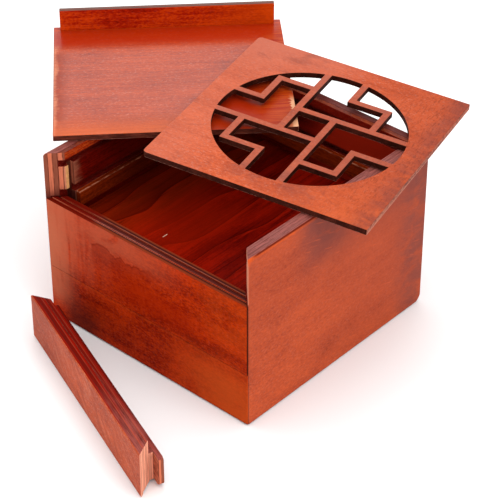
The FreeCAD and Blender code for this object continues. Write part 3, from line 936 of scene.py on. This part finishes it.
def lid_tones(wood, half, from_side, from_near, by_window):
    """Tones of the lid: orange along the near edge, red by the strip, and painted shade in red under the
    window panel.
    """
    wood.stain(LID_ORANGE, 0.55, wood.step(from_near, 22 * MM, 2 * MM))
    grainy = wood.noise("X", 16 * MM, 1.2 * MM, detail=4, distortion=0.2, shift=61)
    grainy = wood.step(grainy, 0.35, 0.65)
    wood.stain(scaled(LID_ORANGE, 1.2), 0.5, wood.step(from_near, 9 * MM, 2 * MM), grainy)
    wood.stain(LID_RED, 0.78, wood.area(Y=(half.y - 26 * MM, half.y - 16 * MM)))
    # Painted shade: dark red where the window panel shades the lid.
    wood.stain(scaled(LID_RED, 0.85), 0.85, by_window)
    by_strip = wood.near(wood.y, half.y - STRIP_WIDTH - 0.7 * MM, 0.4 * MM, 0.5 * MM)
    wood.stain(STRIP_ORANGE, 0.55, by_strip)
    wood.stain(LID_ORANGE, 0.6, by_window, wood.step(from_side, 26 * MM, 4 * MM), grainy)


def lid_corner(wood, half, from_side, from_near):
    """Near right corner of the lid: rubbed pale, and torn along the right edge."""
    ragged = wood.noise("X", 6 * MM, 1.5 * MM, detail=3, distortion=0.3, shift=29)
    ragged = wood.swing(ragged, 14 * MM)
    from_corner = wood.plus(wood.plus(from_near, wood.times(from_side, 0.6)), ragged)
    wood.stain(LID_WORN, 0.7, wood.step(from_corner, 8 * MM, 3 * MM), wood.area(X=(0.0, half.x / 2)))
    from_right = wood.plus(wood.minus(half.x, wood.x), wood.times(ragged, 0.4))
    torn = wood.step(from_right, 2.6 * MM, 1.8 * MM)
    wood.stain(LID_TORN, 0.75, torn, wood.step(from_near, 30 * MM, 22 * MM))


def lid_gloss(wood, from_side, from_near, by_window):
    """Coat of the lid: streaked, thinner by the edges and gone under the window panel."""
    dull = wood.larger(wood.step(from_side, 8 * MM, 2 * MM), wood.step(from_near, 24 * MM, 2 * MM))
    gloss = wood.minus(1.0, wood.larger(wood.times(dull, 0.5), wood.times(by_window, 0.97)))
    streaks = wood.noise("X", 45 * MM, 1.3 * MM, detail=5, distortion=0.1, shift=33)
    grit = wood.noise("X", 3.0 * MM, 0.8 * MM, detail=3, shift=35)
    return wood.times(gloss, wood.plus(0.40, wood.times(wood.plus(streaks, grit), 0.60)))


def lid_stain(half):
    """Glossy top of the lid."""
    wood = Veneer("lid_stain", LID_LIGHT, LID_DARK, "X", bands=0.35, lines=0.7, speckle=0.7,
                  blotches=0.5, pores=0.10, flecks=0.24)
    from_side = wood.minus(half.x, wood.size(wood.x))
    from_near = wood.plus(wood.y, half.y)
    under = wood.minus(wood.x, wood.times(wood.y, WINDOW_SLANT))
    by_window = wood.step(under, 0.42 * half.x, 0.60 * half.x)
    lid_sides(wood, from_side)
    lid_tones(wood, half, from_side, from_near, by_window)
    lid_corner(wood, half, from_side, from_near)
    gloss = lid_gloss(wood, from_side, from_near, by_window)
    return wood.done(roughness=0.32, specular=0.12, coat=gloss, coat_roughness=0.18, relief=0.012 * MM)


def lid_pick(normal, centre):
    """Sorts the lid's faces: its long edges are burnt, and its short ones plain."""
    if abs(normal.z) > SQUARELY:
        return PANEL
    return PLAIN if abs(normal.x) > MOSTLY else BURNT


def strip_pick(normal, centre):
    """Sorts the faces of the lid's strip into broad sides, top and ends."""
    if abs(normal.y) > SQUARELY:
        return BROAD
    return TOP if abs(normal.z) > MOSTLY else REST


def strip_stain(half):
    """Broad sides of the lid's strip: red, more orange to the right."""
    wood = Veneer("strip_stain", STRIP_LIGHT, STRIP_DARK, "X", shift=8, bands=0.9, lines=0.8,
                  speckle=0.9, blotches=1.0, pores=0.15, flecks=0.04)
    wood.stain(STRIP_ORANGE, 0.6, wood.area(X=(0.2 * half.x, half.x)))
    return wood.done(roughness=0.35, specular=0.05)


def lid_strip(place, half):
    """Strip glued along the lid's far edge."""
    grey = (scaled(RIM_LINE, 0.40), scaled(RIM_LINE, 0.18))
    top = Plies("strip_top", *grey, "Y", half.y, -1, THIN_PLY, "X", glue=TAN)
    ends = Plies("strip_ends", PALE, TAN, "Y", half.y, -1, THIN_PLY, "Z")
    dress("lid_strip", [strip_stain(half), top.done(), ends.done()], strip_pick, place)


def lid():
    """The inner lid and its strip."""
    place, half = own_axes("lid_panel")
    burnt = scorched("lid_scorch", "X", -half.z)
    sides = Plies("lid_sides", PALE, TAN, "Z", -half.z, 1, THIN_PLY, "Y")
    plain = sides.done(roughness=0.7, specular=0.1)
    dress("lid_panel", [lid_stain(half), burnt, plain], lid_pick, place)
    lid_strip(place, half)


def bar_stain(half):
    """Shown face of the key bar: slanting figure, darker toward the far end."""
    face = Veneer("bar_stain", scaled(WALL_LIGHT, 0.94), WALL_DARK, "X", shift=5, bands=0.6, lines=0.6,
                  speckle=1.1, blotches=1.2, pores=0.2, flecks=0.4)
    slant = (0.0, FIGURE_TILT, 0.0)
    figure = face.noise("X", 15 * MM, 3.0 * MM, detail=5, distortion=0.4, shift=3, tilt=slant)
    face.stain(scaled(WALL_DARK, 0.7), 0.5, face.step(figure, 0.50, 0.66))
    face.stain(PALE, 0.4, face.step(figure, 0.46, 0.30))
    face.stain(scaled(WALL_DARK, 0.8), 0.35, face.area(X=(0.3 * half.x, -half.x)))
    return face.done(roughness=0.5, specular=0.08)


def bar_top(half):
    """Top of the key bar: dark red brown with thin paler lines, greyer toward the near end."""
    edge = Plies("bar_top", BAR_TOP, scaled(BAR_TOP, 0.6), "Y", -half.y, 1, WALL_PLY, "X",
                 glue=RIM_DARK, glue_strength=0.8)
    lines = edge.step(edge.noise("X", 30 * MM, 0.8 * MM, detail=3, shift=6), 0.54, 0.70)
    edge.stain(MAUVE, 0.7, lines, edge.area(X=(-0.5 * half.x, half.x)))
    near_end = edge.area(X=(0.1 * half.x, half.x))
    edge.stain(scaled(MAUVE, 1.1), 0.75, near_end, edge.patchy(0.2, 0.6, 9 * MM, 21))
    dark = edge.step(edge.noise("X", 10 * MM, 0.4 * MM, detail=4, shift=16), 0.48, 0.64)
    edge.stain(scaled(RIM_DARK, 0.7), 0.55, dark)
    depth = edge.plus(edge.y, half.y)
    breaks = edge.step(edge.noise("X", 12 * MM, 1 * MM, detail=3, shift=26), 0.2, 0.5)
    stronger = edge.plus(0.3, edge.times(edge.area(X=(0.0, half.x)), 0.5))
    for ridge in BAR_RIDGES:
        edge.stain(BAR_LINE, stronger, edge.near(depth, ridge, 0.10 * MM, 0.20 * MM), breaks)
    return edge.done(roughness=0.45, specular=0.02)


def bar_ends(name, first, second, half, **glue):
    """Cut ends of the key bar's layers."""
    plies = Plies(name, first, second, "Y", -half.y, 1, BAR_PLY, "Z", **glue)
    return plies.done(roughness=0.6, specular=0.05)


def bar_rough(name, light, dark):
    """Unfinished faces of the key bar's inner layers."""
    return Veneer(name, light, dark, "X", shift=3, speckle=1.0).done(roughness=0.6, specular=0.05)


def key_bar():
    """The bar on the table, in four layers."""
    place, half = own_axes("bar_face")
    rough = bar_rough("bar_rough", ROUGH_LIGHT, ROUGH_DARK)
    ends = bar_ends("bar_ends", scaled(SALMON, 1.12), scaled(SALMON, 1.42), half,
                    glue=TAN, glue_strength=0.8)
    tips = bar_ends("bar_tips", END_PALE, TAN, half)
    finishes = {
        "bar_face": (bar_stain(half), ends),
        "bar_backing": (rough, ends),
        "bar_core": (rough, ends),
        "bar_tongue": (bar_rough("bar_bare", PALE, ROUGH_LIGHT), tips),
    }
    top = bar_top(half)
    back = inside_stain("bar_back", "X", shift=3)
    for node, (front, cut) in finishes.items():
        dress(node, [front, top, back, cut], board_pick("Y", -1, inward=SQUARELY), place)


def camera():
    """Camera that looks at the box from its front right, a little off centre."""
    across = math.cos(CAMERA_ELEVATION)
    back = Vector((math.sin(CAMERA_AZIMUTH) * across, -math.cos(CAMERA_AZIMUTH) * across,
                   math.sin(CAMERA_ELEVATION)))
    right = Vector((math.cos(CAMERA_AZIMUTH), math.sin(CAMERA_AZIMUTH), 0.0))
    up = back.cross(right)
    data = bpy.data.cameras.new("camera")
    data.lens = CAMERA_LENS
    data.sensor_width = CAMERA_SENSOR
    data.sensor_fit = "HORIZONTAL"
    eye = bpy.data.objects.new("camera", data)
    place = CAMERA_TARGET + back * CAMERA_DISTANCE + right * CAMERA_ASIDE - up * CAMERA_LOWERED
    eye.matrix_world = Matrix.Translation(place) @ Matrix((right, up, back)).transposed().to_4x4()
    bpy.context.scene.collection.objects.link(eye)
    bpy.context.scene.camera = eye


def softbox(name, place, target, power):
    """Square lamp that faces a point and leaves no reflection."""
    data = bpy.data.lights.new(name, "AREA")
    data.shape = "SQUARE"
    data.size = SOFTBOX_SIZE
    data.energy = power
    lamp = bpy.data.objects.new(name, data)
    lamp.visible_glossy = False
    aim = (Vector(target) - Vector(place)).to_track_quat("-Z", "Y")
    lamp.matrix_world = Matrix.Translation(place) @ aim.to_matrix().to_4x4()
    bpy.context.scene.collection.objects.link(lamp)


def ground():
    """Plain pale floor."""
    mesh = bpy.data.meshes.new("floor")
    reach = GROUND_REACH
    corners = [(-reach, -reach, 0), (reach, -reach, 0), (reach, reach, 0), (-reach, reach, 0)]
    mesh.from_pydata(corners, [], [(0, 1, 2, 3)])
    mesh.materials.append(Graph("floor_white").finish(GROUND_WHITE, 0.8, specular=0.1))
    floor = bpy.data.objects.new("floor", mesh)
    bpy.context.scene.collection.objects.link(floor)


def studio():
    """White surroundings, soft boxes and the ground."""
    world = bpy.data.worlds.new("studio")
    world.use_nodes = True
    sky = world.node_tree.nodes["Background"]
    sky.inputs["Color"].default_value = SKY_WHITE
    sky.inputs["Strength"].default_value = SKY_STRENGTH
    bpy.context.scene.world = world
    for name, (place, target, power) in SOFTBOXES.items():
        softbox(name, place, target, power)
    ground()
    bpy.context.scene.view_settings.view_transform = "Standard"


camera()
box_walls()
inside_fittings()
front_boards()
window()
lid()
key_bar()
studio()
